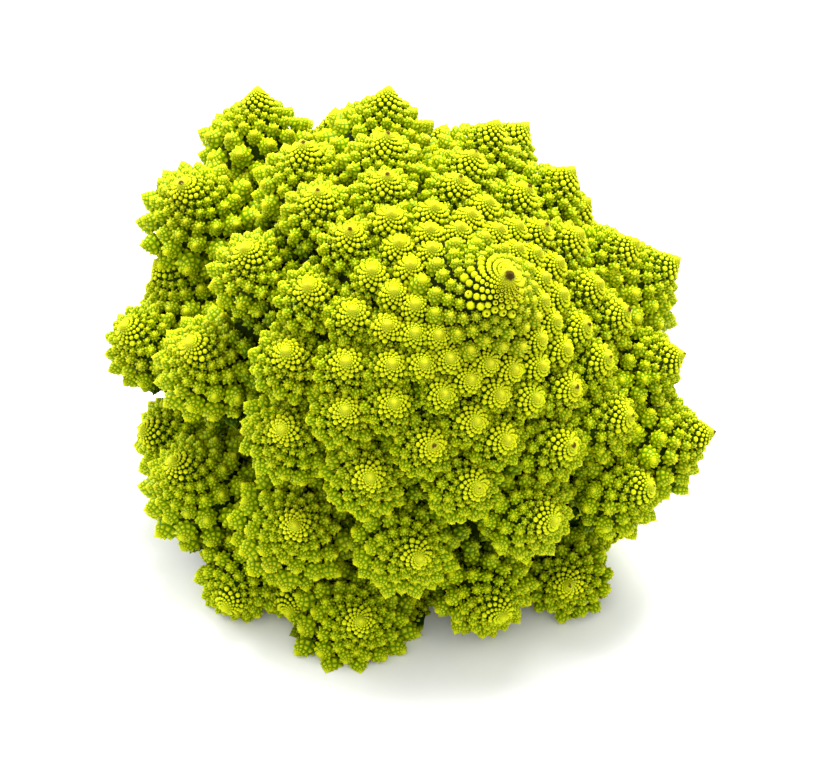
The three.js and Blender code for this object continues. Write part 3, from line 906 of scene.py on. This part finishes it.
class Look:
    """A material with one shader, and the nodes that feed it."""

    def __init__(self, name):
        self.material = bpy.data.materials.new(name)
        self.material.use_nodes = True
        self.nodes = self.material.node_tree.nodes
        self.links = self.material.node_tree.links
        self.nodes.clear()
        self.shader = self.nodes.new("ShaderNodeBsdfPrincipled")
        output = self.nodes.new("ShaderNodeOutputMaterial")
        self.links.new(self.shader.outputs[0], output.inputs["Surface"])

    def feed(self, socket, value):
        """Links an output to a socket, or sets the socket to a plain value."""
        if isinstance(value, bpy.types.NodeSocket):
            self.links.new(value, socket)
        else:
            socket.default_value = value

    def attribute(self, name):
        """A value that the mesh has at each point."""
        node = self.nodes.new("ShaderNodeAttribute")
        node.attribute_name = name
        return node.outputs["Fac"]

    def noise(self, scale, detail):
        """Soft noise through the piece."""
        place = self.nodes.new("ShaderNodeTexCoord")
        node = self.nodes.new("ShaderNodeTexNoise")
        node.inputs["Scale"].default_value = scale
        node.inputs["Detail"].default_value = detail
        self.links.new(place.outputs["Object"], node.inputs["Vector"])
        return node.outputs["Fac"]

    def ramp(self, factor, stops):
        """A colour that goes with the factor, from positions and colours."""
        node = self.nodes.new("ShaderNodeValToRGB")
        elements = node.color_ramp.elements
        elements[0].color = stops[0][1]
        elements[1].color = stops[-1][1]
        for position, color in stops[1:-1]:
            elements.new(position).color = color
        self.links.new(factor, node.inputs["Fac"])
        return node.outputs["Color"]

    def mix(self, factor, a, b, blend="MIX"):
        """A mix of two colours."""
        node = self.nodes.new("ShaderNodeMix")
        node.data_type = "RGBA"
        node.blend_type = blend
        self.feed(node.inputs[0], factor)
        self.feed(node.inputs[6], a)
        self.feed(node.inputs[7], b)
        return node.outputs[2]

    def ranged(self, value, start, end, kind="SMOOTHSTEP"):
        """0 to 1 as a value goes from start to end."""
        node = self.nodes.new("ShaderNodeMapRange")
        node.interpolation_type = kind
        node.inputs["From Min"].default_value = start
        node.inputs["From Max"].default_value = end
        self.links.new(value, node.inputs["Value"])
        return node.outputs["Result"]

    def sum(self, a, b):
        """Two values added."""
        node = self.nodes.new("ShaderNodeMath")
        node.operation = "ADD"
        self.feed(node.inputs[0], a)
        self.feed(node.inputs[1], b)
        return node.outputs[0]

    def finish(self, settings):
        """Sets what is the same all over the surface."""
        for name, value in settings.items():
            self.shader.inputs[name].default_value = value
        return self.material


def curd_material():
    """Yellow-green flesh: bright on the beads, with painted shade of deep green between them, pale on the
    stems and brown on scorched tips."""
    look = Look("curd")
    blotches = look.noise(*BLOTCHES)
    # The flesh's tint, with its painted shade and painted highlight.
    flesh = look.ramp(look.attribute("glow"), FLESH_TINT_SHADE_HIGHLIGHT_RAMP)
    flesh = look.mix(1.0, flesh, look.mix(blotches, *FLESH_BLOTCHES), "MULTIPLY")
    stem = look.ranged(look.attribute("brown"), 0.0, -1.0, "LINEAR")
    fresh = look.mix(stem, flesh, look.mix(blotches, *STEM_COLORS))
    burnt = look.ranged(look.sum(look.attribute("brown"), look.noise(*FIBRES)), *BROWN_EDGE)
    scorched = look.mix(burnt, fresh, BROWN)
    # Painted shade multiplied into the grooves between beads.
    on_bead = look.ranged(look.attribute("bead"), *GROOVE_SHADE_EDGE)
    groove_shaded = look.mix(1.0, scorched, look.mix(on_bead, GROOVE_SHADE, WHITE), "MULTIPLY")
    look.feed(look.shader.inputs["Base Color"], groove_shaded)
    return look.finish(CURD_FINISH)


def stalk_material():
    """Pale green stalk with a paler cut: painted shade darkens the side's hollows, and the cut has darker
    rings of its own.
    """
    look = Look("stalk")
    blotches = look.noise(*STALK_BLOTCHES)
    side = look.mix(blotches, *STALK_COLORS)
    cut = look.mix(blotches, *CUT_COLORS)
    bare = look.mix(look.attribute("bead"), side, cut)
    shaded = look.mix(look.attribute("glow"), STALK_SHADE_AND_RING_TINT, bare)
    look.feed(look.shader.inputs["Base Color"], shaded)
    return look.finish(STALK_FINISH)


def build_stage():
    """A plain pale floor."""
    side = FLOOR_SIDE
    corners = [(-side, -side, 0), (side, -side, 0), (side, side, 0), (-side, side, 0)]
    floor = bpy.data.meshes.new("floor")
    floor.from_pydata(corners, [], [(0, 1, 2, 3)])
    floor.materials.append(Look("floor").finish(FLOOR_FINISH))
    stage = bpy.data.objects.new("floor", floor)
    bpy.context.scene.collection.objects.link(stage)


def area_light(name, at, aim, size, power):
    """A square light that faces the point that it aims at."""
    data = bpy.data.lights.new(name, "AREA")
    data.shape = "SQUARE"
    data.size = size
    data.energy = power
    light = bpy.data.objects.new(name, data)
    light.location = at
    light.rotation_euler = (Vector(aim) - Vector(at)).to_track_quat("-Z", "Y").to_euler()
    bpy.context.scene.collection.objects.link(light)


def build_light():
    """Soft white light from all round, with one large light overhead and a weak one from the left."""
    world = bpy.data.worlds.new("studio")
    world.use_nodes = True
    background = world.node_tree.nodes["Background"]
    background.inputs["Color"].default_value = WHITE
    background.inputs["Strength"].default_value = WORLD_STRENGTH
    bpy.context.scene.world = world
    for light in LIGHTS:
        area_light(**light)
    bpy.context.scene.view_settings.view_transform = "Standard"


def build_camera():
    """The photo's camera, kept level and then turned to the point that it aims at."""
    data = bpy.data.cameras.new("camera")
    data.lens = LENS
    data.sensor_width = SENSOR
    data.clip_start = NEAREST
    camera = bpy.data.objects.new("camera", data)
    back = np.array([0, -math.cos(VIEW_ELEVATION), math.sin(VIEW_ELEVATION)])
    at = Vector((APEX + back * VIEW_DISTANCE) * MM)
    level = Vector(-back)
    look = (Vector(AIM * MM) - at).normalized()
    camera.location = at
    camera.rotation_euler = (level.rotation_difference(look) @ level.to_track_quat("-Z", "Y")).to_euler()
    bpy.context.scene.collection.objects.link(camera)
    bpy.context.scene.camera = camera


build_camera()
build_curd(curd_material())
build_stalk(stalk_material())
build_stage()
build_light()
